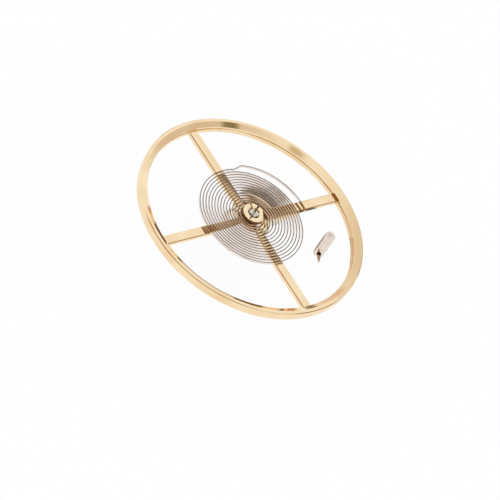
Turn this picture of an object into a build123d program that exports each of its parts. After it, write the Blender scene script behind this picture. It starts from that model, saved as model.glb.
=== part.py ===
from build123d import *
import math
import os

# Watch balance wheel with its staff, double roller, flat hairspring, collet and loose stud.
# Millimetres. The origin is the tip of the lower pivot, +Z runs up the staff, two arms lie along X.

# Wheel
rim_diameter = 9.6
rim_height = 0.38
rim_top_width = 0.15
rim_slope_width = 0.20
rim_slope_depth = 0.107
rim_edge_break = 0.024
arm_count = 4
arm_width = 0.40
arm_thickness = 0.17
arm_fillet = 0.10
ledge_width = 0.025
hub_diameter = 1.72
hub_fillet = 0.12
wheel_seat_diameter = 0.86

# Staff
staff_below_wheel = 1.93
pivot_diameter = 0.08
pivot_length = 0.20
pivot_end_round = 0.02
cone_length = 0.20
cone_diameter = 0.34
roller_seat_diameter = 0.46
flange_diameter = 1.30
flange_thickness = 0.30
flange_taper = 0.12
collet_seat_diameter = 0.39
seat_end_break = 0.03
upper_cone_length = 0.12
upper_cone_diameter = 0.17
upper_pivot_length = 0.345
collet_seat_to_top = 0.005

# Double roller
table_diameter = 1.90
table_thickness = 0.18
table_edge_break = 0.03
roller_hub_diameter = 0.76
roller_hub_length = 0.40
safety_diameter = 0.98
safety_thickness = 0.22
crescent_diameter = 0.36
crescent_depth = 0.12
roller_to_flange = 0.04

# Impulse jewel
jewel_diameter = 0.30
jewel_flat_share = 0.28
jewel_length = 0.52
jewel_stand = 0.02
jewel_edge_wall = 0.10
jewel_azimuth = 270.0

# Collet
collet_diameter = 0.94
collet_height = 0.36
collet_flange_thickness = 0.13
collet_body_diameter = 0.75
collet_edge_break = 0.03
collet_bore_break = 0.05
slit_width = 0.05
slit_azimuth = 166.0
collet_flat_depth = 0.085
collet_flat_azimuth = 60.0
chord_hole_diameter = 0.13
chord_hole_floor = 0.05
collet_pin_big_diameter = 0.042
collet_pin_small_diameter = 0.034
collet_pin_length = 0.44

# Hairspring
strip_thickness = 0.033
strip_height = 0.11
turns_to_collet = 0.04
turns_on_start_side = 14
outer_turn_radius = 2.255
outer_turn_azimuth = 167.3
outer_half_step = 0.005
inner_half_step = 0.075
spring_tilt = 1.5
spring_tilt_azimuth = 194.0
inner_elbow_radius = 0.12
inner_tail_past_foot = 0.24
knee_radius = 0.16
knee_turn = 25.0
knee_run = 0.333
knee_turn_back = 31.4
terminal_radius = 2.43
terminal_sweep = 79.0

# Stud and its pin
stud_diameter = 0.42
stud_height = 1.23
stud_edge_break = 0.03
stud_flat_depth = 0.08
stud_notch_gap = 0.035
stud_dimple_diameter = 0.16
stud_dimple_depth = 0.05
stud_inside_rim = 0.329
stud_azimuth = 73.7
stud_pin_diameter = 0.19
stud_pin_tip_diameter = 0.06
stud_pin_body_length = 0.32
stud_pin_point_length = 0.34
stud_pin_azimuth = 327.0

# Clearances
running_gap = 0.02
seat_gap = 0.005
collet_to_hub = 0.02
cut_overrun = 0.2

rim_radius = rim_diameter / 2
wheel_bottom = staff_below_wheel
wheel_top = wheel_bottom + rim_height
arm_top = wheel_bottom + arm_thickness
slope_inner_radius = rim_radius - rim_top_width - rim_slope_width
ledge_inner_radius = slope_inner_radius - ledge_width
hub_radius = hub_diameter / 2
collet_radius = collet_diameter / 2
collet_body_radius = collet_body_diameter / 2
inner_turn_radius = collet_body_radius + turns_to_collet
start_side_pitch = (outer_turn_radius - inner_turn_radius - inner_half_step) / turns_on_start_side
far_side_pitch = (outer_turn_radius - outer_half_step - inner_turn_radius) / turns_on_start_side
half_turns = 2 * turns_on_start_side + 1
collet_bottom = arm_top + collet_to_hub
collet_top = collet_bottom + collet_height
collet_bore_radius = collet_seat_diameter / 2 + running_gap
spring_middle = collet_bottom + chord_hole_floor + chord_hole_diameter / 2
chord_hole_offset = (collet_body_radius + collet_bore_radius) / 2
strip_far_face = math.sqrt((chord_hole_diameter / 2 - seat_gap) ** 2 - (strip_height / 2) ** 2)
strip_shift = strip_far_face - strip_thickness / 2
pin_shift = (chord_hole_diameter - collet_pin_big_diameter) / 2 - seat_gap
stud_orbit = ledge_inner_radius - stud_inside_rim
stud_notch_width = stud_pin_diameter + 2 * stud_notch_gap
stud_notch_height = stud_pin_diameter + 2 * stud_notch_gap
tail_distance = chord_hole_offset + strip_shift
flange_bottom = wheel_bottom - flange_thickness
table_top = flange_bottom - roller_to_flange
table_bottom = table_top - table_thickness
safety_top = table_bottom - roller_hub_length + safety_thickness
safety_bottom = table_bottom - roller_hub_length
jewel_orbit = table_diameter / 2 - jewel_edge_wall - jewel_diameter / 2
collet_seat_top = collet_top + collet_seat_to_top
staff_top = collet_seat_top + upper_cone_length + upper_pivot_length


def direction(azimuth):
    return Vector(math.cos(math.radians(azimuth)), math.sin(math.radians(azimuth)), 0)


def turned(points):
    """A solid of revolution about Z from an outline of (radius, height) points."""
    outline = Polyline(*[(radius, 0, height) for radius, height in points], close=True)
    return revolve(make_face(outline), axis=Axis.Z)


def balance_wheel():
    """Rim with a sloped inner edge and a ledge, crossed by four flat arms on a hub disc."""
    edge = rim_edge_break
    rim = turned([
        (ledge_inner_radius, wheel_bottom),
        (rim_radius - edge, wheel_bottom),
        (rim_radius, wheel_bottom + edge),
        (rim_radius, wheel_top - edge),
        (rim_radius - edge, wheel_top),
        (rim_radius - rim_top_width, wheel_top),
        (slope_inner_radius, wheel_top - rim_slope_depth),
        (slope_inner_radius, arm_top),
        (ledge_inner_radius, arm_top),
    ])
    flat = Circle((slope_inner_radius + ledge_inner_radius) / 2)
    flat -= Circle(wheel_seat_diameter / 2 + seat_gap)
    window = wheel_window()
    for index in range(arm_count):
        flat -= Rot(0, 0, 360 / arm_count * index) * window
    return rim + extrude(Plane.XY.offset(wheel_bottom) * flat, amount=arm_thickness)


def wheel_window():
    """Opening between two neighbouring arms, with small rounds at the hub and at the rim."""
    side = 2 * ledge_inner_radius
    corner = arm_width / 2
    quarter = Pos(corner, corner) * Rectangle(side, side, align=(Align.MIN, Align.MIN))
    window = (Circle(ledge_inner_radius) - Circle(hub_radius)) & quarter
    halfway = (ledge_inner_radius + hub_radius) / 2
    inner = window.vertices().filter_by(lambda v: math.hypot(v.X, v.Y) < halfway)
    window = fillet(inner, hub_fillet)
    outer = window.vertices().filter_by(lambda v: math.hypot(v.X, v.Y) > halfway)
    return fillet(outer, arm_fillet)


def balance_staff():
    """One turned steel piece: pivots, cones, roller seat, flange, wheel seat and collet seat."""
    pivot = pivot_diameter / 2
    seat = roller_seat_diameter / 2
    top_seat = collet_seat_diameter / 2
    return turned([
        (0, 0),
        (pivot - pivot_end_round, 0),
        (pivot, pivot_end_round),
        (pivot, pivot_length),
        (cone_diameter / 2, pivot_length + cone_length),
        (seat, pivot_length + cone_length),
        (seat, flange_bottom),
        (flange_diameter / 2 - flange_taper, flange_bottom),
        (flange_diameter / 2, wheel_bottom - flange_thickness / 2),
        (flange_diameter / 2, wheel_bottom - seat_gap),
        (wheel_seat_diameter / 2, wheel_bottom - seat_gap),
        (wheel_seat_diameter / 2, arm_top),
        (top_seat, arm_top),
        (top_seat, collet_seat_top - seat_end_break),
        (top_seat - seat_end_break, collet_seat_top),
        (upper_cone_diameter / 2, collet_seat_top),
        (pivot, collet_seat_top + upper_cone_length),
        (pivot, staff_top - pivot_end_round),
        (pivot - pivot_end_round, staff_top),
        (0, staff_top),
    ])


def jewel_outline(clearance):
    """D-shaped section of the impulse jewel, its flat facing away from the staff."""
    radius = jewel_diameter / 2 + clearance
    flat_at = jewel_diameter * (1 / 2 - jewel_flat_share) + clearance
    block = Pos(flat_at - radius, 0) * Rectangle(2 * radius, 2 * radius)
    return Circle(radius) & block


def double_roller():
    """Impulse table and safety roller on one hub, with the jewel's hole and the safety crescent."""
    bore = roller_seat_diameter / 2 + seat_gap
    edge = table_edge_break
    body = turned([
        (bore, safety_bottom),
        (safety_diameter / 2, safety_bottom),
        (safety_diameter / 2, safety_top),
        (roller_hub_diameter / 2, safety_top),
        (roller_hub_diameter / 2, table_bottom),
        (table_diameter / 2, table_bottom),
        (table_diameter / 2, table_top - edge),
        (table_diameter / 2 - edge, table_top),
        (bore, table_top),
    ])
    place = Rot(0, 0, jewel_azimuth)
    hole = Pos(jewel_orbit, 0) * jewel_outline(seat_gap)
    hole_height = table_thickness + 2 * cut_overrun
    body -= place * extrude(Plane.XY.offset(table_bottom - cut_overrun) * hole, amount=hole_height)
    crescent_centre = safety_diameter / 2 - crescent_depth + crescent_diameter / 2
    crescent = Pos(crescent_centre, 0) * Circle(crescent_diameter / 2)
    crescent_height = safety_thickness + cut_overrun
    low = Plane.XY.offset(safety_bottom - cut_overrun)
    return body - place * extrude(low * crescent, amount=crescent_height)


def impulse_jewel():
    """Ruby pin set upright in the roller table."""
    section = Pos(jewel_orbit, 0) * jewel_outline(0)
    level = Plane.XY.offset(table_top + jewel_stand - jewel_length)
    return Rot(0, 0, jewel_azimuth) * extrude(level * section, amount=jewel_length)


def leaned(shape):
    """A shape made on the level plane of the spring, turned to the spring's slight tilt."""
    hinge = Axis((0, 0, spring_middle), direction(spring_tilt_azimuth - 90))
    return shape.rotate(hinge, spring_tilt)


def reach_after(count):
    """Distance from the staff to the strip after a number of half turns inward."""
    turns = count // 2
    if count % 2:
        return outer_turn_radius - outer_half_step - turns * far_side_pitch
    return outer_turn_radius - turns * start_side_pitch


def spring_route():
    """Middle line of the hairspring strip from its outer end to its tail in the collet."""
    start = outer_turn_azimuth
    knee_point = direction(start) * outer_turn_radius
    knee_end, leave = arc_from(knee_point, direction(start - 90), knee_radius, knee_turn)
    run_end = knee_end + leave * knee_run
    arc_begin, arc_heading = arc_from(run_end, leave, knee_radius, -knee_turn_back)
    outer_end, end_heading = arc_from(arc_begin, arc_heading, terminal_radius, -terminal_sweep)
    route = [
        arc_edge(outer_end, end_heading * -1, terminal_radius, terminal_sweep),
        arc_edge(arc_begin, arc_heading * -1, knee_radius, knee_turn_back),
        Line(run_end, knee_end),
        arc_edge(knee_end, leave * -1, knee_radius, -knee_turn),
    ]
    point = knee_point
    heading = direction(start + 90)
    for index in range(half_turns):
        radius = (reach_after(index) + reach_after(index + 1)) / 2
        route.append(arc_edge(point, heading, radius, 180))
        point, heading = arc_from(point, heading, radius, 180)
    elbow_orbit = inner_turn_radius - inner_elbow_radius
    bend = math.degrees(math.acos((tail_distance - inner_elbow_radius) / elbow_orbit))
    route.append(arc_edge(point, heading, inner_elbow_radius, bend))
    point, heading = arc_from(point, heading, inner_elbow_radius, bend)
    tail = inner_tail_past_foot - point.dot(heading)
    route.append(Line(point, point + heading * tail))
    return route, heading


def arc_from(point, heading, radius, angle):
    """End point and heading after an arc, a positive angle turning left."""
    side = heading.rotate(Axis.Z, 90 if angle > 0 else -90)
    centre = point + side * radius
    return centre + (point - centre).rotate(Axis.Z, angle), heading.rotate(Axis.Z, angle)


def arc_edge(point, heading, radius, angle):
    middle, _ = arc_from(point, heading, radius, angle / 2)
    end, _ = arc_from(point, heading, radius, angle)
    return ThreePointArc(point, middle, end)


def hairspring():
    """Flat spiral strip with a raised-radius terminal arc outside and a tail for the collet."""
    route, _ = spring_route()
    path = Wire([edge for piece in route for edge in piece.edges()])
    lifted = Pos(0, 0, spring_middle) * path
    begin = Plane(origin=lifted @ 0, x_dir=(0, 0, 1), z_dir=lifted % 0)
    return leaned(sweep(begin * Rectangle(strip_height, strip_thickness), path=lifted))


def report_spring():
    """Prints the strip's length and its least gap to itself, measured on points of its route."""
    route, _ = spring_route()
    path = Wire([edge for piece in route for edge in piece.edges()])
    length = path.length
    steps_per_turn = 72
    count = int(half_turns / 2 * steps_per_turn)
    points = [path @ (index / count) for index in range(count + 1)]
    apart = math.pi * inner_elbow_radius
    gaps = []
    for index, one in enumerate(points):
        for later in range(index + 1, len(points)):
            if (later - index) * length / count > apart:
                gaps.append((one - points[later]).length)
    print("hairspring length", round(length, 3), "mm")
    print("hairspring least gap to itself", round(min(gaps) - strip_thickness, 4), "mm")
    print("hairspring volume by section", round(length * strip_height * strip_thickness, 5), "mm3")


def chord_frame(across):
    """Plane on the collet's chord hole, shifted across the hole, its Z axis along the hole."""
    _, heading = spring_route()
    outward = heading.rotate(Axis.Z, -90)
    foot = outward * (chord_hole_offset + across)
    return Plane(origin=(foot.X, foot.Y, spring_middle), x_dir=(0, 0, 1), z_dir=heading)


def collet():
    """Split brass ring with a flange, a flat on it, and a chord hole below for the spring's tail."""
    edge = collet_edge_break
    ring = turned([
        (collet_bore_radius, collet_bottom),
        (collet_body_radius, collet_bottom),
        (collet_body_radius, collet_top - collet_flange_thickness),
        (collet_radius, collet_top - collet_flange_thickness),
        (collet_radius, collet_top - edge),
        (collet_radius - edge, collet_top),
        (collet_bore_radius + collet_bore_break, collet_top),
        (collet_bore_radius, collet_top - collet_bore_break),
    ])
    hole_plane = chord_frame(0).offset(-collet_radius)
    ring -= leaned(extrude(hole_plane * Circle(chord_hole_diameter / 2), amount=collet_diameter))
    slit_height = collet_height + 2 * cut_overrun
    slit = Pos(collet_radius / 2 + cut_overrun / 2, 0) * Rectangle(collet_radius + cut_overrun, slit_width)
    cutter = extrude(Plane.XY.offset(collet_bottom - cut_overrun) * slit, amount=slit_height)
    ring -= Rot(0, 0, slit_azimuth) * cutter
    outside = Pos(2 * collet_radius - collet_flat_depth, 0) * Rectangle(collet_diameter, collet_diameter)
    flat_level = Plane.XY.offset(collet_top - collet_flange_thickness)
    return ring - Rot(0, 0, collet_flat_azimuth) * extrude(flat_level * outside, amount=slit_height)


def collet_pin():
    """Taper pin beside the spring's tail in the chord hole."""
    low = chord_frame(-pin_shift).offset(-collet_pin_length / 2)
    high = chord_frame(-pin_shift).offset(collet_pin_length / 2)
    big = low * Circle(collet_pin_big_diameter / 2)
    small = high * Circle(collet_pin_small_diameter / 2)
    return leaned(loft([big, small]))


def stud():
    """Loose pillar with a flat, an arched notch for the spring end and a dimple in its top."""
    radius = stud_diameter / 2
    edge = stud_edge_break
    pillar = turned([
        (0, 0),
        (radius - edge, 0),
        (radius, edge),
        (radius, stud_height - edge),
        (radius - edge, stud_height),
        (stud_dimple_diameter / 2, stud_height),
        (0, stud_height - stud_dimple_depth),
    ])
    reach = radius + cut_overrun
    flat = Pos(reach + radius - stud_flat_depth, 0) * Rectangle(2 * reach, 2 * reach)
    pillar -= extrude(flat, amount=stud_height)
    arch_radius = stud_notch_width / 2
    arch_centre = stud_notch_height - arch_radius
    side = Plane(origin=(-reach, 0, 0), x_dir=(0, 1, 0), z_dir=(1, 0, 0))
    arch = Pos(0, arch_centre) * Circle(arch_radius)
    arch += Pos(0, arch_centre / 2 - cut_overrun / 2) * Rectangle(stud_notch_width, arch_centre + cut_overrun)
    pillar -= extrude(side * arch, amount=2 * reach)
    base = direction(stud_azimuth) * stud_orbit
    return Pos(base.X, base.Y, 0) * Rot(0, 0, stud_pin_azimuth) * pillar


def stud_pin():
    """Pointed brass pin lying in the stud's notch and standing out of the flat."""
    radius = stud_pin_diameter / 2
    tip = stud_pin_tip_diameter / 2
    back = stud_pin_body_length
    outline = Polyline(
        (0, 0, 0),
        (radius, 0, 0),
        (radius, 0, back),
        (tip, 0, back + stud_pin_point_length),
        (0, 0, back + stud_pin_point_length),
        close=True,
    )
    pin = revolve(make_face(outline), axis=Axis.Z)
    start = stud_diameter / 2 - stud_flat_depth - stud_pin_body_length
    laid = Pos(start, 0, radius) * Rot(0, 90, 0) * pin
    base = direction(stud_azimuth) * stud_orbit
    return Pos(base.X, base.Y, 0) * Rot(0, 0, stud_pin_azimuth) * laid


os.makedirs("parts", exist_ok=True)
makers = (
    balance_wheel,
    balance_staff,
    double_roller,
    impulse_jewel,
    collet,
    collet_pin,
    hairspring,
    stud,
    stud_pin,
)
for maker in makers:
    export_step(maker(), "parts/" + maker.__name__ + ".step")
report_spring()
print("staff length", round(staff_top, 3), "mm")
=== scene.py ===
import bpy
import math
from mathutils import Matrix, Quaternion, Vector, kdtree


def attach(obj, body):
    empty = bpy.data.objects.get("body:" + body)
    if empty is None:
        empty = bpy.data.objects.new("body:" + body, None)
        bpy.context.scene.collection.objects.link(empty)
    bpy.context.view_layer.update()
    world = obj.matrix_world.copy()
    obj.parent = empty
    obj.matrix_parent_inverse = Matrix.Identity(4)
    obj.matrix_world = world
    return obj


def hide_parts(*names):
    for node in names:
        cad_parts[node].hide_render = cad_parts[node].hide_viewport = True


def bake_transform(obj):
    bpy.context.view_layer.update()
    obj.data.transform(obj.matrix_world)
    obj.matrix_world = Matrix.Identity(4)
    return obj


# Watch balance wheel: gilt wheel, staff, double roller with its jewel, hairspring on a split collet,
# and the loose stud with its pin. Sizes are in millimetres and angles in degrees.

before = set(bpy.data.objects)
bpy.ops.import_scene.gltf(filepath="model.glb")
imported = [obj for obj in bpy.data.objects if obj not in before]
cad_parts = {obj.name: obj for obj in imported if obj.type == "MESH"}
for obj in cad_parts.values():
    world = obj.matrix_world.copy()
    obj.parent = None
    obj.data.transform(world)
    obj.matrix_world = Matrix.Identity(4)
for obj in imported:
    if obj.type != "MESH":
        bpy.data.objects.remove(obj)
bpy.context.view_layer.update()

MM = 0.001

# How near a point has to be to count as in one place, and as on a circle
SAME_PLACE = 1e-4
NEAR_CIRCLE = 0.005

# How far a cutter reaches past what it cuts, and a block's height where only its sides cut
OVERRUN = 0.1
CUTTER_HEIGHT = 1.0

# Flats that a round piece is made of, from the rim down to holes and wires
RIM_SIDES = 384
RING_SIDES = 192
STAFF_SIDES = 128
POST_SIDES = 96
PIN_SIDES = 64
HOLE_SIDES = 48

# Share of a rounded edge at which its middle corner stands
ROUND_MIDDLE = 0.3

# Smallest gap between pieces that seat on each other
SEAT_GAP = 0.005

# Wheel
RIM_RADIUS = 4.8
RIM_TOP_WIDTH = 0.15
RIM_SLOPE_WIDTH = 0.20
RIM_SLOPE_DEPTH = 0.107
RIM_EDGE = 0.024
ARM_WIDTH = 0.40
ARM_CORNER = 0.10
LEDGE_WIDTH = 0.025
HUB_RADIUS = 0.86
HUB_CORNER = 0.12
CORNER_STEPS = 8
WHEEL_BOTTOM = 1.93
ARM_TOP = 2.10
WHEEL_TOP = 2.31
WHEEL_BORE_RADIUS = 0.435
ARM_CHAMFER = 0.024
LEDGE_CHAMFER = 0.008
SHARP_EDGE = 60
SLOPE_INNER_RADIUS = RIM_RADIUS - RIM_TOP_WIDTH - RIM_SLOPE_WIDTH
LEDGE_INNER_RADIUS = SLOPE_INNER_RADIUS - LEDGE_WIDTH

# Staff
PIVOT_RADIUS = 0.04
PIVOT_ROUND = 0.02
PIVOT_LENGTH = 0.20
CONE_TOP = 0.40
CONE_RADIUS = 0.17
CONE_EDGE = 0.04
LOWER_FLARE = 0.012
LOWER_FLARE_LENGTH = 0.06
ROLLER_SEAT_RADIUS = 0.23
FLANGE_RADIUS = 0.65
FLANGE_TAPER = 0.12
FLANGE_BOTTOM = 1.63
FLANGE_MIDDLE = 1.78
FLANGE_TOP = 1.925
WHEEL_SEAT_RADIUS = 0.43
COLLET_SEAT_RADIUS = 0.195
SEAT_END_BREAK = 0.03
SEAT_TOP = 2.485
UPPER_CONE_RADIUS = 0.085
UPPER_CONE_TOP = 2.605
STAFF_TOP = 2.95
UPPER_FLARE = 0.008
UPPER_FLARE_LENGTH = 0.05
DARK_PIVOT_START = 0.02
STAFF_EASE = 0.006

# Double roller and its jewel
TABLE_RADIUS = 0.95
TABLE_BOTTOM = 1.41
TABLE_TOP = 1.59
TABLE_EDGE = 0.03
ROLLER_HUB_RADIUS = 0.38
ROLLER_BORE_RADIUS = 0.235
SAFETY_RADIUS = 0.49
SAFETY_BOTTOM = 1.01
SAFETY_TOP = 1.23
CRESCENT_RADIUS = 0.18
CRESCENT_DEPTH = 0.12
JEWEL_RADIUS = 0.15
JEWEL_FLAT_AT = 0.066
JEWEL_ORBIT = 0.70
JEWEL_BOTTOM = 1.09
JEWEL_TOP = 1.61
JEWEL_AZIMUTH = 270.0
ROLLER_EASE = 0.008
JEWEL_EASE = 0.012

# Collet and its taper pin
COLLET_RADIUS = 0.47
COLLET_BODY_RADIUS = 0.375
COLLET_BORE_RADIUS = 0.215
COLLET_BOTTOM = 2.12
COLLET_TOP = 2.48
COLLET_FLANGE = 0.13
COLLET_EDGE = 0.03
COLLET_BORE_BREAK = 0.05
SLIT_WIDTH = 0.05
SLIT_AZIMUTH = 166.0
COLLET_FLAT_DEPTH = 0.085
FLAT_OVERRUN = 0.01
COLLET_FLAT_AZIMUTH = 60.0
CHORD_HOLE_RADIUS = 0.065
CHORD_HOLE_OFFSET = 0.295
COLLET_PIN_BIG_RADIUS = 0.021
COLLET_PIN_SMALL_RADIUS = 0.017
COLLET_PIN_LENGTH = 0.44
COLLET_PIN_SHIFT = -0.039
COLLET_EASE = 0.006
COLLET_PIN_EASE = 0.01

# Hairspring
STRIP_THICKNESS = 0.033
STRIP_HEIGHT = 0.11
STRIP_MIDDLE = 2.235
TURNS_ON_START_SIDE = 14
HALF_TURNS = 2 * TURNS_ON_START_SIDE + 1
OUTER_TURN_RADIUS = 2.255
INNER_TURN_RADIUS = 0.415
OUTER_HALF_STEP = 0.005
INNER_HALF_STEP = 0.075
START_SIDE_PITCH = (OUTER_TURN_RADIUS - INNER_TURN_RADIUS - INNER_HALF_STEP) / TURNS_ON_START_SIDE
FAR_SIDE_PITCH = (OUTER_TURN_RADIUS - OUTER_HALF_STEP - INNER_TURN_RADIUS) / TURNS_ON_START_SIDE
OUTER_TURN_AZIMUTH = 167.3
TILT = 1.5
TILT_AZIMUTH = 194.0
ELBOW_RADIUS = 0.12
TAIL_PAST_FOOT = 0.24
KNEE_RADIUS = 0.16
KNEE_TURN = 25.0
KNEE_RUN = 0.333
KNEE_TURN_BACK = 31.4
TERMINAL_RADIUS = 2.43
TERMINAL_SWEEP = 79.0
STRIP_FAR_FACE = math.sqrt((CHORD_HOLE_RADIUS - SEAT_GAP) ** 2 - (STRIP_HEIGHT / 2) ** 2)
TAIL_DISTANCE = CHORD_HOLE_OFFSET + STRIP_FAR_FACE - STRIP_THICKNESS / 2

# Flats on a half turn of the strip at its widest, the fewest on an arc, and the share left on the smallest turns
HALF_TURN_STEPS = 60
LEAST_STEPS = 4
LEAST_STEP_SHARE = 0.35

# How near the strip's outer end its corners lie, and how much its edges are rounded
END_REACH = 0.6 * STRIP_HEIGHT
STRIP_EASE = 0.009

# Stud and its pin
STUD_RADIUS = 0.21
STUD_HEIGHT = 1.23
STUD_EDGE = 0.03
STUD_FLAT_DEPTH = 0.08
DIMPLE_RADIUS = 0.08
DIMPLE_DEPTH = 0.05
DIMPLE_TIP_RADIUS = 0.01
DIMPLE_LIP_WIDTH = 0.01
DIMPLE_LIP_DEPTH = 0.008
NOTCH_WIDTH = 0.26
NOTCH_HEIGHT = 0.26
STUD_ORBIT = 4.096
STUD_AZIMUTH = 73.7
PIN_AZIMUTH = 327.0
PIN_RADIUS = 0.095
PIN_TIP_RADIUS = 0.03
PIN_BODY_LENGTH = 0.32
PIN_POINT_LENGTH = 0.34
STUD_EASE = 0.006
STUD_PIN_EASE = 0.012

# Camera
CAMERA_DISTANCE = 286.7538
CAMERA_AZIMUTH = -59.3614
CAMERA_ELEVATION = 43.2472
CAMERA_ROLL = 34.844
CAMERA_AIM = (1.4719, -1.1114, 2.31)
CAMERA_LENS = 529.272
SENSOR_WIDTH = 36
NEAR_CLIP = 0.01
FAR_CLIP = 10

# Lamp above the upper left, in metres and watts
LAMP_PLACE = (-0.146, 0.084, 0.628)
LAMP_SIZE = 0.20
LAMP_POWER = 0.05

# White card that the object stands on: its size in metres, and how much of its white shines by itself
CARD_SIZE = 2.0
CARD_GLOW = 0.93

# What the metal sees in the tent: azimuth, elevation, inner and outer radius of a patch, and its tone
TENT_PATCHES = (
    (50, 40, 18, 50, "#ddd2c8"),
    (301, 35, 28, 50, "#b3a184"),
    (245, 32, 12, 28, "#9a744c"),
    (43, 18, 10, 22, "#9a744c"),
    (38, 59.5, 1, 6, "#8c8266"),
    (301, 81, 1, 5, "#d6cfc0"),
    (150, 12, 3, 12, "#ecd9d0"),
    (141, 4, 0.5, 3.5, "#9a8672"),
)

# Painted reflection: one side of the rim is painted a little deeper in tone, from and to these distances
TAN_REFLECTION_AZIMUTH = 55.0
TAN_REFLECTION_START = 3.3
TAN_REFLECTION_FULL = 4.6

# Turning rings on the gilt wheel, drawn as coarse as they need to show, and the period of a wave at scale 1
TURNING_RING = 0.12
WAVE_PERIOD = 0.314

# Painted shade on the card that only the metal's mirrors see: centre, inner and outer radius in mm, and its tone
CARD_PAINTED_SHADES = (
    ((-0.2, -0.75, 0), 0.4, 0.9, "#c0b7aa"),
    ((-3.3, 5.8, 0), 1.3, 2.6, "#80603c"),
    ((-12, 22, 0), 17, 19.5, "#80603c"),
    ((0.3, 4.3, 0), 0.6, 0.95, "#6b6257"),
    ((0.95, 4.9, 0), 0.35, 0.6, "#6b6257"),
)


def direction(azimuth, elevation=0):
    """Unit vector towards an azimuth and an elevation."""
    turn, rise = math.radians(azimuth), math.radians(elevation)
    return Vector((math.cos(turn) * math.cos(rise), math.sin(turn) * math.cos(rise), math.sin(rise)))


# Camera
def place_camera():
    """Long lens from the near side, a little above, turned about its own axis."""
    data = bpy.data.cameras.new("camera")
    data.sensor_width = SENSOR_WIDTH
    data.lens = CAMERA_LENS
    data.clip_start = NEAR_CLIP
    data.clip_end = FAR_CLIP
    camera = bpy.data.objects.new("camera", data)
    bpy.context.scene.collection.objects.link(camera)
    away = direction(CAMERA_AZIMUTH, CAMERA_ELEVATION)
    camera.location = (Vector(CAMERA_AIM) + away * CAMERA_DISTANCE) * MM
    roll = Quaternion((0, 0, 1), math.radians(CAMERA_ROLL))
    camera.rotation_mode = "QUATERNION"
    camera.rotation_quaternion = (away * -1).to_track_quat("-Z", "Y") @ roll
    bpy.context.scene.camera = camera


# Materials
def linear(colour):
    """sRGB hex colour as linear values."""
    parts = [int(colour[index:index + 2], 16) / 255 for index in (1, 3, 5)]
    return tuple(part / 12.92 if part <= 0.04045 else ((part + 0.055) / 1.055) ** 2.4 for part in parts) + (1,)


def node(tree, kind, links=(), **settings):
    """Adds a node, sets its fields and sockets, and links (socket, source, output) into it."""
    made = tree.nodes.new(kind)
    for key, value in settings.items():
        if hasattr(made, key):
            setattr(made, key, value)
        else:
            made.inputs[key.replace("_", " ")].default_value = value
    for socket, source, output in links:
        tree.links.new(source.outputs[output], made.inputs[socket])
    return made


def base_finish(name, colour, dark, roughness, spot_mm, metallic=1, spread=0.2):
    """A material whose tone drifts a little in spots of a size, as handling and plating leave it."""
    material = bpy.data.materials.new(name)
    material.use_nodes = True
    tree = material.node_tree
    shader = tree.nodes["Principled BSDF"]
    shader.inputs["Metallic"].default_value = metallic
    shader.inputs["Roughness"].default_value = roughness
    place = node(tree, "ShaderNodeTexCoord")
    cloud = node(tree, "ShaderNodeTexNoise", [("Vector", place, "Object")], Scale=1 / (spot_mm * MM), Detail=2.0)
    ramp = node(tree, "ShaderNodeValToRGB", [("Fac", cloud, "Fac")])
    low, high = ramp.color_ramp.elements
    low.position, high.position = 0.5 - spread, 0.5 + spread
    low.color, high.color = linear(dark), linear(colour)
    tree.links.new(ramp.outputs["Color"], shader.inputs["Base Color"])
    return material, tree, shader, place


def second_finish(tree, shader, share, colour, shine=None):
    """Lays a second tone on a metal by a share, and lets its roughness go with it from one value to another."""
    tone = shader.inputs["Base Color"].links[0].from_node
    both = node(tree, "ShaderNodeMix", [("Factor", share, "Result"), (6, tone, "Color")], data_type="RGBA")
    both.inputs[7].default_value = linear(colour)
    tree.links.new(both.outputs[2], shader.inputs["Base Color"])
    if shine:
        roughness = node(tree, "ShaderNodeMapRange", [("Value", share, "Result")], To_Min=shine[0], To_Max=shine[1])
        tree.links.new(roughness.outputs["Result"], shader.inputs["Roughness"])


def gilt_polished():
    """Gilded beryllium bronze, turned and then polished: a pale gold mirror with faint turning rings, one side
    painted a deeper tan as a painted reflection.
    """
    material, tree, shader, place = base_finish("gilt_polished", "#fce8c4", "#f4d8ae", 0.04, 1.1)
    rings = node(tree, "ShaderNodeTexWave", [("Vector", place, "Object")], wave_type="RINGS", rings_direction="Z",
                 Scale=WAVE_PERIOD / (TURNING_RING * MM), Distortion=0.0)
    bump = node(tree, "ShaderNodeBump", [("Height", rings, "Fac")], Strength=0.012, Distance=0.01 * MM)
    tree.links.new(bump.outputs["Normal"], shader.inputs["Normal"])
    # Painted reflection: the rim's side towards one azimuth is painted a deeper tan
    side = node(tree, "ShaderNodeVectorMath", [(0, place, "Object")], operation="DOT_PRODUCT")
    side.inputs[1].default_value = direction(TAN_REFLECTION_AZIMUTH)
    share = node(tree, "ShaderNodeMapRange", [("Value", side, "Value")],
                 From_Min=TAN_REFLECTION_START * MM, From_Max=TAN_REFLECTION_FULL * MM)
    second_finish(tree, shader, share, "#e4c69c")
    return material


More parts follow.
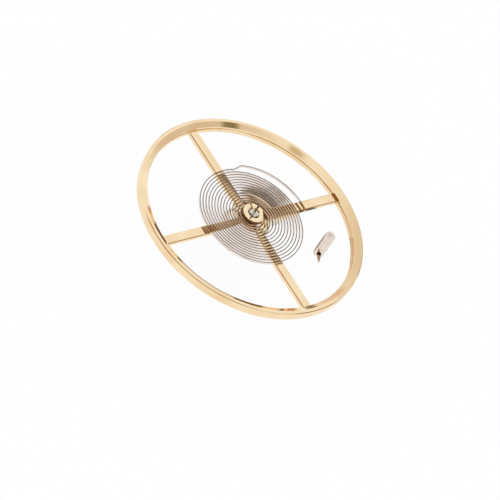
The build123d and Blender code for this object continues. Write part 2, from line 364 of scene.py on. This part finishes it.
def steel_polished():
    """Hardened steel: a cold bright mirror, its upper pivot painted darker as a painted dark reflection, and its
    hidden lower half softer.
    """
    material, tree, shader, place = base_finish("steel_polished", "#dcdad9", "#c6c4c3", 0.07, 0.3)
    height = node(tree, "ShaderNodeSeparateXYZ", [("Vector", place, "Object")])
    # Painted reflection: from just above the collet seat up to the pivot the colour goes darker
    above = node(tree, "ShaderNodeMapRange", [("Value", height, "Z")],
                 From_Min=(SEAT_TOP + DARK_PIVOT_START) * MM, From_Max=UPPER_CONE_TOP * MM)
    second_finish(tree, shader, above, "#968d89")
    for socket, below, upward in (("Roughness", 0.2, 0.07), ("Metallic", 0.35, 1.0)):
        level = node(tree, "ShaderNodeMapRange", [("Value", height, "Z")],
                     From_Min=FLANGE_TOP * MM, From_Max=ARM_TOP * MM, To_Min=below, To_Max=upward)
        tree.links.new(level.outputs["Result"], shader.inputs[socket])
    return material


def steel_turned():
    """Hardened steel with a fine pale satin, softer in its shine than the pivots."""
    return base_finish("steel_turned", "#f6f4f2", "#e9e6e3", 0.35, 0.4, metallic=0.35)[0]


def brass_gilt():
    """Gilded brass: a pale cream gold mirror above, its turned wall rougher and painted warmer and darker as painted
    shade.
    """
    material, tree, shader, place = base_finish("brass_gilt", "#fcebc8", "#f3dcb4", 0.06, 0.25)
    # Painted shade: faces that stand upright are painted a warmer, darker tone, and made rougher
    split = node(tree, "ShaderNodeSeparateXYZ", [("Vector", place, "Normal")])
    level = node(tree, "ShaderNodeMath", [(0, split, "Z")], operation="ABSOLUTE")
    wall = node(tree, "ShaderNodeMapRange", [("Value", level, "Value")], From_Min=0.5, From_Max=0.2)
    second_finish(tree, shader, wall, "#d9a878", (0.06, 0.4))
    return material


def brass_drawn():
    """Drawn brass wire, filed to a taper, slightly tarnished: warm and satin."""
    return base_finish("brass_drawn", "#d6b8a6", "#8f6c5a", 0.12, 0.12)[0]


def spring_strip():
    """Rolled spring alloy: its sides are bright mirrors, its upper and lower edges rougher and painted dark as
    painted shade.
    """
    material, tree, shader, place = base_finish("spring_strip", "#f0e8e4", "#e6dcd7", 0.06, 0.6)
    # Painted shade: faces that point up or down are painted dark, standing in for the shade between the coils, and
    # made rougher
    split = node(tree, "ShaderNodeSeparateXYZ", [("Vector", place, "Normal")])
    level = node(tree, "ShaderNodeMath", [(0, split, "Z")], operation="ABSOLUTE")
    edge = node(tree, "ShaderNodeMapRange", [("Value", level, "Value")], From_Min=0.25, From_Max=0.55)
    second_finish(tree, shader, edge, "#43372f", (0.12, 0.35))
    return material


def nickel_silver():
    """Turned nickel silver: silver beige walls with a soft mirror, and a top painted paler as painted light, and
    matt.
    """
    material, tree, shader, place = base_finish("nickel_silver", "#f0e7de", "#e0d5ca", 0.14, 0.18)
    # Painted light: faces that point up are painted paler, and made rougher
    split = node(tree, "ShaderNodeSeparateXYZ", [("Vector", place, "Normal")])
    painted_top_light = node(tree, "ShaderNodeMapRange", [("Value", split, "Z")], From_Min=0.85, From_Max=0.98)
    second_finish(tree, shader, painted_top_light, "#fdfcfa", (0.14, 0.6))
    return material


def ruby():
    """Synthetic ruby, ground and polished: deep red and clear, with bright edges."""
    material, tree, shader, place = base_finish("ruby", "#c81a3c", "#a80f2b", 0.04, 0.2, metallic=0, spread=0.5)
    shader.inputs["IOR"].default_value = 1.76
    shader.inputs["Transmission Weight"].default_value = 0.75
    return material


# Modelling
def clear():
    """Leaves nothing selected."""
    bpy.ops.object.select_all(action="DESELECT")


def only(piece):
    """Selects one piece and makes it the active one."""
    clear()
    piece.select_set(True)
    bpy.context.view_layer.objects.active = piece


def edit(piece, kind="VERT"):
    """Opens a piece in edit mode."""
    only(piece)
    bpy.ops.object.mode_set(mode="EDIT")
    bpy.ops.mesh.select_mode(type=kind)


def done():
    """Leaves edit mode."""
    bpy.ops.object.mode_set(mode="OBJECT")


def sharp_edges(piece, angle):
    """Indices of the edges of a piece that are sharper than an angle."""
    edit(piece, "EDGE")
    bpy.ops.mesh.select_all(action="DESELECT")
    bpy.ops.mesh.edges_select_sharp(sharpness=math.radians(angle))
    done()
    return {edge.index for edge in piece.data.edges if edge.select}


def pick(piece, kind, test, among=None):
    """Selects, in edit mode, the vertices whose place or the edges whose middle and run pass a test."""
    edit(piece, kind)
    bpy.ops.mesh.select_all(action="DESELECT")
    done()
    points = [vertex.co for vertex in piece.data.vertices]
    if kind == "EDGE":
        for edge in piece.data.edges:
            one, two = (points[index] for index in edge.vertices)
            allowed = among is None or edge.index in among
            edge.select = allowed and test((one + two) / 2, (one - two).normalized())
    else:
        for vertex in piece.data.vertices:
            vertex.select = test(vertex.co)
    bpy.ops.object.mode_set(mode="EDIT")


def upright(along):
    """True for a run that follows the staff's axis."""
    return abs(along.z) > 0.9


def turned(name, outline, around=RING_SIDES, closed=False):
    """Piece turned about Z: a circle at the first point of the outline, extruded and scaled from point to point."""
    clear()
    radius, height = outline[0]
    bpy.ops.mesh.primitive_circle_add(vertices=around, radius=radius, location=(0, 0, height))
    piece = bpy.context.active_object
    piece.name = name
    bpy.ops.object.transform_apply(location=True, rotation=True, scale=True)
    edit(piece)
    bpy.ops.mesh.select_all(action="SELECT")
    for after, level in outline[1:]:
        bpy.ops.mesh.extrude_edges_move()
        bpy.ops.transform.translate(value=(0, 0, level - height))
        share = after / radius
        bpy.ops.transform.resize(value=(share, share, 1), center_override=(0, 0, level))
        radius, height = after, level
    ends = (outline[0], outline[-1]) if closed else outline[:1]

    def on_end(middle, along):
        return not upright(along) and any(
            abs(middle.z - level) < SAME_PLACE and abs(math.hypot(middle.x, middle.y) - reach) < NEAR_CIRCLE
            for reach, level in ends)

    if closed:
        done()
        pick(piece, "EDGE", on_end)
        bpy.ops.mesh.bridge_edge_loops()
    else:
        bpy.ops.mesh.edge_face_add()
        done()
        pick(piece, "EDGE", on_end)
        bpy.ops.mesh.edge_face_add()
    bpy.ops.mesh.select_all(action="SELECT")
    bpy.ops.mesh.normals_make_consistent(inside=False)
    done()
    return piece


def place_by(piece, matrix):
    """Moves a piece by a matrix and keeps its place in its mesh."""
    only(piece)
    piece.matrix_world = matrix @ piece.matrix_world
    bpy.ops.object.transform_apply(location=True, rotation=True, scale=True)


def cut(piece, tool, how="DIFFERENCE"):
    """Cuts a piece with a closed tool, which is then thrown away."""
    only(piece)
    boolean = piece.modifiers.new("cut", "BOOLEAN")
    boolean.operation = how
    boolean.solver = "EXACT"
    boolean.object = tool
    bpy.ops.object.modifier_apply(modifier=boolean.name)
    bpy.data.objects.remove(tool, do_unlink=True)


def block(width, depth, height, centre):
    """Upright block to cut with."""
    clear()
    bpy.ops.mesh.primitive_cube_add(size=1, location=centre, scale=(width, depth, height))
    bpy.ops.object.transform_apply(location=True, rotation=True, scale=True)
    return bpy.context.active_object


def post(radius, low, high, centre=(0, 0), around=PIN_SIDES):
    """Upright round post between two heights, to cut with or to start a pin from."""
    clear()
    middle = (centre[0], centre[1], (low + high) / 2)
    bpy.ops.mesh.primitive_cylinder_add(vertices=around, radius=radius, depth=high - low, location=middle)
    bpy.ops.object.transform_apply(location=True, rotation=True, scale=True)
    return bpy.context.active_object


def ease(piece, width, segments=2, angle=50):
    """Rounds every edge sharper than an angle."""
    only(piece)
    bevel = piece.modifiers.new("ease", "BEVEL")
    bevel.width = width
    bevel.segments = segments
    bevel.limit_method = "ANGLE"
    bevel.angle_limit = math.radians(angle)
    bevel.use_clamp_overlap = True
    bpy.ops.object.modifier_apply(modifier=bevel.name)


def finish_piece(piece, name, material, body, node_name, crease=28):
    """Tidies a mesh, gives it its shading, material and size in metres, and lets it stand for its CAD node."""
    edit(piece)
    bpy.ops.mesh.select_all(action="SELECT")
    bpy.ops.mesh.remove_doubles(threshold=SAME_PLACE)
    bpy.ops.mesh.normals_make_consistent(inside=False)
    bpy.ops.mesh.select_all(action="DESELECT")
    bpy.ops.mesh.select_mode(type="EDGE")
    bpy.ops.mesh.edges_select_sharp(sharpness=math.radians(crease))
    bpy.ops.mesh.mark_sharp()
    done()
    only(piece)
    bpy.ops.object.shade_smooth()
    weighted = piece.modifiers.new("weighted", "WEIGHTED_NORMAL")
    weighted.keep_sharp = True
    bpy.ops.object.modifier_apply(modifier=weighted.name)
    place_by(piece, Matrix.Scale(MM, 4))
    piece.name = name
    piece.data.name = name
    piece.data.materials.clear()
    piece.data.materials.append(material)
    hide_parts(node_name)
    if body:
        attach(piece, body)


# Wheel
def wheel_blank():
    """Rim and web turned in one piece, before the windows are cut."""
    edge = RIM_EDGE
    outline = [
        (WHEEL_BORE_RADIUS, WHEEL_BOTTOM),
        (RIM_RADIUS - edge, WHEEL_BOTTOM),
        (RIM_RADIUS, WHEEL_BOTTOM + edge),
        (RIM_RADIUS, WHEEL_TOP - edge),
        (RIM_RADIUS - edge, WHEEL_TOP),
        (RIM_RADIUS - RIM_TOP_WIDTH, WHEEL_TOP),
        (SLOPE_INNER_RADIUS, WHEEL_TOP - RIM_SLOPE_DEPTH),
        (SLOPE_INNER_RADIUS, ARM_TOP),
        (WHEEL_BORE_RADIUS, ARM_TOP),
    ]
    return turned("wheel", outline, RIM_SIDES, closed=True)


def wheel_window():
    """Cutter for one window: a quarter of a disc without the hub, with rounded corners."""
    low, high = WHEEL_BOTTOM - OVERRUN, ARM_TOP + OVERRUN
    window = post(LEDGE_INNER_RADIUS, low, high, around=RIM_SIDES)
    side = 2 * LEDGE_INNER_RADIUS
    corner = ARM_WIDTH / 2
    centre = corner + side / 2
    cut(window, block(side, side, CUTTER_HEIGHT, (centre, centre, ARM_TOP)), "INTERSECT")
    cut(window, post(HUB_RADIUS, low - OVERRUN, high + OVERRUN, around=RING_SIDES))
    middle = (LEDGE_INNER_RADIUS + HUB_RADIUS) / 2
    for inner, radius in ((True, HUB_CORNER), (False, ARM_CORNER)):
        def corner_edge(point, along):
            near = math.hypot(point.x, point.y) < middle
            on_side = abs(point.x - corner) < SAME_PLACE or abs(point.y - corner) < SAME_PLACE
            return upright(along) and on_side and near == inner
        pick(window, "EDGE", corner_edge)
        bpy.ops.mesh.bevel(offset=radius, segments=CORNER_STEPS, affect="EDGES", offset_type="OFFSET")
        done()
    return window


def balance_wheel():
    """Blank with four windows cut and its upper edges chamfered, finely on the arms and less on the ledge."""
    wheel = wheel_blank()
    window = wheel_window()
    for index in range(4):
        tool = window.copy()
        tool.data = window.data.copy()
        bpy.context.scene.collection.objects.link(tool)
        place_by(tool, Matrix.Rotation(math.radians(90 * index), 4, "Z"))
        cut(wheel, tool)
    bpy.data.objects.remove(window, do_unlink=True)
    arms = (HUB_RADIUS - NEAR_CIRCLE, LEDGE_INNER_RADIUS - 3 * NEAR_CIRCLE, ARM_CHAMFER)
    ledge = (LEDGE_INNER_RADIUS - 2 * NEAR_CIRCLE, LEDGE_INNER_RADIUS + NEAR_CIRCLE, LEDGE_CHAMFER)
    for low, high, chamfer in (arms, ledge):
        def upper_edge(middle, along):
            return abs(middle.z - ARM_TOP) < SAME_PLACE and low < math.hypot(middle.x, middle.y) < high
        pick(wheel, "EDGE", upper_edge, sharp_edges(wheel, SHARP_EDGE))
        bpy.ops.mesh.bevel(offset=chamfer, segments=1, affect="EDGES", offset_type="OFFSET")
        done()
    finish_piece(wheel, "balance_wheel_gilt", MATERIALS["gilt"], "balance", "balance_wheel", 20)


# Staff
def balance_staff():
    """One turned piece from the lower pivot up, its cones a little hollow."""
    staff = turned("staff", [
        (PIVOT_RADIUS - PIVOT_ROUND, 0),
        (PIVOT_RADIUS - PIVOT_ROUND * ROUND_MIDDLE, PIVOT_ROUND * ROUND_MIDDLE),
        (PIVOT_RADIUS, PIVOT_ROUND),
        (PIVOT_RADIUS, PIVOT_LENGTH),
        (PIVOT_RADIUS + LOWER_FLARE, PIVOT_LENGTH + LOWER_FLARE_LENGTH),
        (CONE_RADIUS - CONE_EDGE, CONE_TOP - CONE_EDGE),
        (CONE_RADIUS, CONE_TOP),
        (ROLLER_SEAT_RADIUS, CONE_TOP),
        (ROLLER_SEAT_RADIUS, FLANGE_BOTTOM),
        (FLANGE_RADIUS - FLANGE_TAPER, FLANGE_BOTTOM),
        (FLANGE_RADIUS, FLANGE_MIDDLE),
        (FLANGE_RADIUS, FLANGE_TOP),
        (WHEEL_SEAT_RADIUS, FLANGE_TOP),
        (WHEEL_SEAT_RADIUS, ARM_TOP),
        (COLLET_SEAT_RADIUS, ARM_TOP),
        (COLLET_SEAT_RADIUS, SEAT_TOP - SEAT_END_BREAK),
        (COLLET_SEAT_RADIUS - SEAT_END_BREAK, SEAT_TOP),
        (UPPER_CONE_RADIUS, SEAT_TOP),
        (PIVOT_RADIUS + UPPER_FLARE, UPPER_CONE_TOP - UPPER_FLARE_LENGTH),
        (PIVOT_RADIUS, UPPER_CONE_TOP),
        (PIVOT_RADIUS, STAFF_TOP - PIVOT_ROUND),
        (PIVOT_RADIUS - PIVOT_ROUND * ROUND_MIDDLE, STAFF_TOP - PIVOT_ROUND * ROUND_MIDDLE),
        (PIVOT_RADIUS - PIVOT_ROUND, STAFF_TOP),
    ], STAFF_SIDES)
    ease(staff, STAFF_EASE)
    finish_piece(staff, "balance_staff_steel", MATERIALS["steel"], "balance", "balance_staff")


# Double roller
def double_roller():
    """Impulse table over a safety roller with its crescent, and the jewel's hole through the table."""
    edge = TABLE_EDGE
    roller = turned("roller", [
        (ROLLER_BORE_RADIUS, SAFETY_BOTTOM),
        (SAFETY_RADIUS, SAFETY_BOTTOM),
        (SAFETY_RADIUS, SAFETY_TOP),
        (ROLLER_HUB_RADIUS, SAFETY_TOP),
        (ROLLER_HUB_RADIUS, TABLE_BOTTOM),
        (TABLE_RADIUS, TABLE_BOTTOM),
        (TABLE_RADIUS, TABLE_TOP - edge),
        (TABLE_RADIUS - edge, TABLE_TOP),
        (ROLLER_BORE_RADIUS, TABLE_TOP),
    ], closed=True)
    out = direction(JEWEL_AZIMUTH)
    crescent_at = out * (SAFETY_RADIUS - CRESCENT_DEPTH + CRESCENT_RADIUS)
    cut(roller, post(CRESCENT_RADIUS, SAFETY_BOTTOM - OVERRUN, SAFETY_TOP + OVERRUN / 2, crescent_at.xy, POST_SIDES))
    cut(roller, jewel_blank(SEAT_GAP, TABLE_BOTTOM - OVERRUN, TABLE_TOP + OVERRUN))
    ease(roller, ROLLER_EASE)
    finish_piece(roller, "double_roller_steel", MATERIALS["turned"], "balance", "double_roller")


def jewel_blank(gap, low, high):
    """D-shaped pin, or with a gap the cutter for its hole, its flat facing away from the staff."""
    out = direction(JEWEL_AZIMUTH)
    centre = out * JEWEL_ORBIT
    pin = post(JEWEL_RADIUS + gap, low, high, centre.xy)
    edit(pin)
    bpy.ops.mesh.select_all(action="SELECT")
    bpy.ops.mesh.bisect(plane_co=centre + out * (JEWEL_FLAT_AT + gap), plane_no=out, use_fill=True, clear_outer=True)
    done()
    return pin


def impulse_jewel():
    """Ruby pin that stands down from the table."""
    jewel = jewel_blank(0, JEWEL_BOTTOM, JEWEL_TOP)
    ease(jewel, JEWEL_EASE, 3)
    finish_piece(jewel, "impulse_jewel_ruby", MATERIALS["ruby"], "balance", "impulse_jewel")


# Hairspring
def arc_end(point, heading, radius, angle):
    """Centre, end point and heading of an arc, a positive angle turning left."""
    side = Quaternion((0, 0, 1), math.radians(90 if angle > 0 else -90)) @ heading
    centre = point + side * radius
    swing = Quaternion((0, 0, 1), math.radians(angle))
    return centre, centre + swing @ (point - centre), swing @ heading


def reach_after(count):
    """Distance from the staff to the strip after a number of half turns inward."""
    turns = count // 2
    if count % 2:
        return OUTER_TURN_RADIUS - OUTER_HALF_STEP - turns * FAR_SIDE_PITCH
    return OUTER_TURN_RADIUS - turns * START_SIDE_PITCH


def spring_route():
    """Outer end, heading there, and legs of the strip's middle line inward: (radius, angle) or (None, length)."""
    knee_point = direction(OUTER_TURN_AZIMUTH) * OUTER_TURN_RADIUS
    _, knee_end, leave = arc_end(knee_point, direction(OUTER_TURN_AZIMUTH - 90), KNEE_RADIUS, KNEE_TURN)
    run_end = knee_end + leave * KNEE_RUN
    _, arc_begin, arc_heading = arc_end(run_end, leave, KNEE_RADIUS, -KNEE_TURN_BACK)
    _, outer_end, end_heading = arc_end(arc_begin, arc_heading, TERMINAL_RADIUS, -TERMINAL_SWEEP)
    legs = [
        (TERMINAL_RADIUS, TERMINAL_SWEEP),
        (KNEE_RADIUS, KNEE_TURN_BACK),
        (None, KNEE_RUN),
        (KNEE_RADIUS, -KNEE_TURN),
    ]
    legs += [((reach_after(index) + reach_after(index + 1)) / 2, 180) for index in range(HALF_TURNS)]
    elbow_orbit = INNER_TURN_RADIUS - ELBOW_RADIUS
    bend = math.degrees(math.acos((TAIL_DISTANCE - ELBOW_RADIUS) / elbow_orbit))
    legs.append((ELBOW_RADIUS, bend))
    return outer_end, end_heading * -1, legs


def tilt_matrix():
    """The spring's slight tilt, about the staff's axis at the strip's middle height."""
    middle = Matrix.Translation((0, 0, STRIP_MIDDLE))
    lean = Matrix.Rotation(math.radians(TILT), 4, direction(TILT_AZIMUTH - 90))
    return middle @ lean @ middle.inverted()


def strip_steps(radius, angle):
    """Flats on an arc of the strip, fewer on the small turns."""
    share = LEAST_STEP_SHARE + (1 - LEAST_STEP_SHARE) * min(1, radius / OUTER_TURN_RADIUS)
    return max(LEAST_STEPS, round(HALF_TURN_STEPS * abs(angle) / 180 * share))


def hairspring():
    """Strip's section spun and drawn along its route, and its heading at the collet, which the chord hole follows."""
    point, heading, legs = spring_route()
    level = Vector((0, 0, STRIP_MIDDLE))
    clear()
    bpy.ops.mesh.primitive_plane_add(size=1, location=(0, 0, 0))
    strip = bpy.context.active_object
    section = Matrix.Translation(point + level)
    turn = Matrix.Rotation(math.atan2(heading.y, heading.x), 4, "Z")
    stand = Matrix.Rotation(math.radians(90), 4, "Y")
    place_by(strip, section @ turn @ stand @ Matrix.Diagonal((STRIP_HEIGHT, STRIP_THICKNESS, 1, 1)))
    edit(strip, "EDGE")
    bpy.ops.mesh.select_all(action="SELECT")
    bpy.ops.mesh.delete(type="ONLY_FACE")
    bpy.ops.mesh.select_all(action="SELECT")
    route = [point.copy()]
    for radius, amount in legs:
        if radius is None:
            bpy.ops.mesh.extrude_edges_move()
            bpy.ops.transform.translate(value=heading * amount)
            point = point + heading * amount
            route.append(point.copy())
            continue
        centre, end, after = arc_end(point, heading, radius, amount)
        steps = strip_steps(radius, amount)
        for step in range(1, steps + 1):
            route.append(centre + Quaternion((0, 0, 1), math.radians(amount * step / steps)) @ (point - centre))
        bpy.ops.mesh.spin(steps=steps, angle=math.radians(-amount), center=centre + level, axis=(0, 0, 1),
                          dupli=False)
        point, heading = end, after
    tail = TAIL_PAST_FOOT - point.dot(heading)
    bpy.ops.mesh.extrude_edges_move()
    bpy.ops.transform.translate(value=heading * tail)
    route.append(point + heading * tail)
    bpy.ops.mesh.edge_face_add()
    done()
    pick(strip, "VERT", lambda spot: (spot - route[0] - level).length < END_REACH)
    bpy.ops.mesh.edge_face_add()
    bpy.ops.mesh.select_all(action="SELECT")
    bpy.ops.mesh.normals_make_consistent(inside=False)
    done()
    ease(strip, STRIP_EASE, angle=60)
    place_by(strip, tilt_matrix())
    finish_piece(strip, "hairspring_strip", MATERIALS["strip"], None, "hairspring")
    wind(strip, route)
    return heading


def wind(strip, route):
    """Bakes the strip's place into its mesh, sums lengths along the route and finds each vertex's nearest route
    point, keeping none of it.
    """
    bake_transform(strip)
    lengths = [0.0]
    for before, after in zip(route, route[1:]):
        lengths.append(lengths[-1] + (after - before).length)
    tree = kdtree.KDTree(len(route))
    lean = tilt_matrix()
    for index, point in enumerate(route):
        tree.insert(lean @ (point + Vector((0, 0, STRIP_MIDDLE))), index)
    tree.balance()
    for vertex in strip.data.vertices:
        _, index, _ = tree.find(vertex.co / MM)


# Collet
def chord_matrix(heading, across):
    """Place on the chord hole of the collet, its Z axis along the hole."""
    outward = Vector((heading.y, -heading.x, 0))
    foot = outward * (CHORD_HOLE_OFFSET + across) + Vector((0, 0, STRIP_MIDDLE))
    axes = Matrix((outward * -1, Vector((0, 0, 1)), heading)).transposed()
    return tilt_matrix() @ Matrix.Translation(foot) @ axes.to_4x4()


def collet(heading):
    """Flanged ring with its chord hole, its slit and the flat that cuts only the flange."""
    edge = COLLET_EDGE
    ring = turned("collet", [
        (COLLET_BORE_RADIUS, COLLET_BOTTOM),
        (COLLET_BODY_RADIUS, COLLET_BOTTOM),
        (COLLET_BODY_RADIUS, COLLET_TOP - COLLET_FLANGE),
        (COLLET_RADIUS, COLLET_TOP - COLLET_FLANGE),
        (COLLET_RADIUS, COLLET_TOP - edge),
        (COLLET_RADIUS - edge * ROUND_MIDDLE, COLLET_TOP - edge * ROUND_MIDDLE),
        (COLLET_RADIUS - edge, COLLET_TOP),
        (COLLET_BORE_RADIUS + COLLET_BORE_BREAK, COLLET_TOP),
        (COLLET_BORE_RADIUS, COLLET_TOP - COLLET_BORE_BREAK),
    ], closed=True)
    hole = post(CHORD_HOLE_RADIUS, -COLLET_RADIUS, COLLET_RADIUS, around=HOLE_SIDES)
    place_by(hole, chord_matrix(heading, 0))
    cut(ring, hole)
    length = COLLET_RADIUS + 2 * OVERRUN
    slit = block(length, SLIT_WIDTH, CUTTER_HEIGHT, (length / 2, 0, (COLLET_BOTTOM + COLLET_TOP) / 2))
    place_by(slit, Matrix.Rotation(math.radians(SLIT_AZIMUTH), 4, "Z"))
    cut(ring, slit)
    flat_middle = (COLLET_RADIUS - COLLET_FLAT_DEPTH + COLLET_RADIUS / 2, 0, COLLET_TOP)
    flat = block(COLLET_RADIUS, 2 * COLLET_RADIUS, 2 * (COLLET_FLANGE + FLAT_OVERRUN), flat_middle)
    place_by(flat, Matrix.Rotation(math.radians(COLLET_FLAT_AZIMUTH), 4, "Z"))
    cut(ring, flat)
    ease(ring, COLLET_EASE, angle=55)
    finish_piece(ring, "collet_brass", MATERIALS["collet"], "collet", "collet")


def collet_pin(heading):
    """Taper pin in the chord hole, beside the strip's tail."""
    half = COLLET_PIN_LENGTH / 2
    big, small = COLLET_PIN_BIG_RADIUS, COLLET_PIN_SMALL_RADIUS
    pin = turned("collet_pin", [(big, -half), (small, half)], HOLE_SIDES)
    ease(pin, COLLET_PIN_EASE, 3)
    place_by(pin, chord_matrix(heading, COLLET_PIN_SHIFT))
    finish_piece(pin, "collet_pin_brass", MATERIALS["pin"], "collet", "collet_pin")


# Stud
def stud_matrix():
    """Place of the stud beside the rim, its X axis along the pin."""
    base = direction(STUD_AZIMUTH) * STUD_ORBIT
    return Matrix.Translation(base) @ Matrix.Rotation(math.radians(PIN_AZIMUTH), 4, "Z")


def stud():
    """Pillar with a dimple in its top, a flat and an arched notch through its foot."""
    edge = STUD_EDGE
    pillar = turned("stud", [
        (STUD_RADIUS - edge, 0),
        (STUD_RADIUS - edge * ROUND_MIDDLE, edge * ROUND_MIDDLE),
        (STUD_RADIUS, edge),
        (STUD_RADIUS, STUD_HEIGHT - edge),
        (STUD_RADIUS - edge * ROUND_MIDDLE, STUD_HEIGHT - edge * ROUND_MIDDLE),
        (STUD_RADIUS - edge, STUD_HEIGHT),
        (DIMPLE_RADIUS + DIMPLE_LIP_WIDTH, STUD_HEIGHT),
        (DIMPLE_RADIUS, STUD_HEIGHT - DIMPLE_LIP_DEPTH),
        (DIMPLE_TIP_RADIUS, STUD_HEIGHT - DIMPLE_DEPTH),
    ], POST_SIDES)
    reach = STUD_RADIUS + OVERRUN
    flat_middle = (reach + STUD_RADIUS - STUD_FLAT_DEPTH, 0, STUD_HEIGHT / 2)
    cut(pillar, block(2 * reach, 2 * reach, 2 * STUD_HEIGHT, flat_middle))
    arch_radius = NOTCH_WIDTH / 2
    arch_centre = NOTCH_HEIGHT - arch_radius
    arch = post(arch_radius, -reach, reach, around=HOLE_SIDES)
    place_by(arch, Matrix.Translation((0, 0, arch_centre)) @ Matrix.Rotation(math.radians(90), 4, "Y"))
    cut(pillar, arch)
    cut(pillar, block(2 * reach, NOTCH_WIDTH, arch_centre + 2 * OVERRUN, (0, 0, arch_centre / 2 - OVERRUN)))
    ease(pillar, STUD_EASE, angle=55)
    place_by(pillar, stud_matrix())
    finish_piece(pillar, "stud_pillar_nickel", MATERIALS["stud"], "stud", "stud")


def stud_pin():
    """Round pin laid in the notch, its point standing out of the flat."""
    start = STUD_RADIUS - STUD_FLAT_DEPTH - PIN_BODY_LENGTH
    pin = turned("stud_pin", [
        (PIN_RADIUS, 0),
        (PIN_RADIUS, PIN_BODY_LENGTH),
        (PIN_TIP_RADIUS, PIN_BODY_LENGTH + PIN_POINT_LENGTH),
    ], PIN_SIDES)
    ease(pin, STUD_PIN_EASE, 3)
    lay = Matrix.Translation((start, 0, PIN_RADIUS)) @ Matrix.Rotation(math.radians(90), 4, "Y")
    place_by(pin, stud_matrix() @ lay)
    finish_piece(pin, "stud_pin_brass", MATERIALS["pin"], "stud", "stud_pin")


# Light
def key_lamp():
    """Square lamp aimed at the foot of the staff."""
    data = bpy.data.lights.new("key", "AREA")
    data.energy = LAMP_POWER
    data.size = LAMP_SIZE
    lamp = bpy.data.objects.new("key", data)
    bpy.context.scene.collection.objects.link(lamp)
    lamp.location = LAMP_PLACE
    lamp.rotation_mode = "QUATERNION"
    lamp.rotation_quaternion = (Vector(LAMP_PLACE) * -1).to_track_quat("-Z", "Y")


def soft_patch(tree, under, measure, start, full, colour):
    """Lays another tone softly on the tone under it, while a measure goes from a start value to a full one."""
    fade = node(tree, "ShaderNodeMapRange", [("Value", measure, "Value")], interpolation_type="SMOOTHSTEP",
                From_Min=start, From_Max=full)
    mixed = node(tree, "ShaderNodeMix", [("Factor", fade, "Result")], data_type="RGBA")
    tree.links.new(under, mixed.inputs[6])
    mixed.inputs[7].default_value = linear(colour)
    return mixed.outputs[2]


def studio_world():
    """White tent with darker and warmer patches for the metal's mirrors, and a plain light for the card."""
    world = bpy.data.worlds.new("studio")
    bpy.context.scene.world = world
    world.use_nodes = True
    tree = world.node_tree
    tree.nodes.clear()
    place = node(tree, "ShaderNodeTexCoord")
    tent = node(tree, "ShaderNodeRGB")
    tent.outputs[0].default_value = linear("#fbfaf8")
    seen = tent.outputs[0]
    for azimuth, elevation, inner, outer, colour in TENT_PATCHES:
        near = node(tree, "ShaderNodeVectorMath", [(0, place, "Generated")], operation="DOT_PRODUCT")
        near.inputs[1].default_value = direction(azimuth, elevation)
        seen = soft_patch(tree, seen, near, math.cos(math.radians(outer)), math.cos(math.radians(inner)), colour)
    glossy = node(tree, "ShaderNodeBackground", Strength=1.0)
    tree.links.new(seen, glossy.inputs["Color"])
    plain = node(tree, "ShaderNodeBackground", Color=linear("#ffffff"), Strength=1.0)
    ray = node(tree, "ShaderNodeLightPath")
    by_ray = node(tree, "ShaderNodeMixShader", [
        ("Fac", ray, "Is Glossy Ray"), (1, plain, "Background"), (2, glossy, "Background")])
    node(tree, "ShaderNodeOutputWorld", [("Surface", by_ray, "Shader")])


def floor():
    """Matt white card, seen white with a soft shadow; in the metal's mirrors it shows painted grey shade under the
    hub and behind the stud.
    """
    clear()
    bpy.ops.mesh.primitive_plane_add(size=CARD_SIZE, location=(0, 0, 0))
    card = bpy.context.active_object
    card.name = "floor"
    material = bpy.data.materials.new("white_card")
    material.use_nodes = True
    tree = material.node_tree
    tree.nodes.clear()
    matt = node(tree, "ShaderNodeBsdfDiffuse", Color=linear("#f6f6f6"))
    glow = node(tree, "ShaderNodeEmission", Color=linear("#ffffff"), Strength=1.0)
    place = node(tree, "ShaderNodeTexCoord")
    card_tone = node(tree, "ShaderNodeRGB")
    card_tone.outputs[0].default_value = linear("#fbf8f4")
    tone = card_tone.outputs[0]
    # Painted shade: glossy rays see the card darker around these centres
    for centre, inner, outer, colour in CARD_PAINTED_SHADES:
        away = node(tree, "ShaderNodeVectorMath", [(0, place, "Object")], operation="DISTANCE")
        away.inputs[1].default_value = Vector(centre) * MM
        tone = soft_patch(tree, tone, away, outer * MM, inner * MM, colour)
    seen = node(tree, "ShaderNodeEmission", Strength=1.0)
    tree.links.new(tone, seen.inputs["Color"])
    ray = node(tree, "ShaderNodeLightPath")
    either = node(tree, "ShaderNodeMath", [(0, ray, "Is Camera Ray"), (1, ray, "Is Transmission Ray")],
                  operation="ADD", use_clamp=True)
    share = node(tree, "ShaderNodeMath", [(0, either, "Value")], operation="MULTIPLY")
    share.inputs[1].default_value = CARD_GLOW
    mix = node(tree, "ShaderNodeMixShader", [("Fac", share, "Value"), (1, matt, "BSDF"), (2, glow, "Emission")])
    metal_view = node(tree, "ShaderNodeMixShader", [
        ("Fac", ray, "Is Glossy Ray"), (1, mix, "Shader"), (2, seen, "Emission")])
    node(tree, "ShaderNodeOutputMaterial", [("Surface", metal_view, "Shader")])
    card.data.materials.append(material)


place_camera()
bpy.context.scene.view_settings.view_transform = "Standard"
MATERIALS = {
    "gilt": gilt_polished(),
    "steel": steel_polished(),
    "turned": steel_turned(),
    "collet": brass_gilt(),
    "pin": brass_drawn(),
    "strip": spring_strip(),
    "stud": nickel_silver(),
    "ruby": ruby(),
}
balance_wheel()
balance_staff()
double_roller()
impulse_jewel()
chord_heading = hairspring()
collet(chord_heading)
collet_pin(chord_heading)
stud()
stud_pin()
studio_world()
floor()
key_lamp()
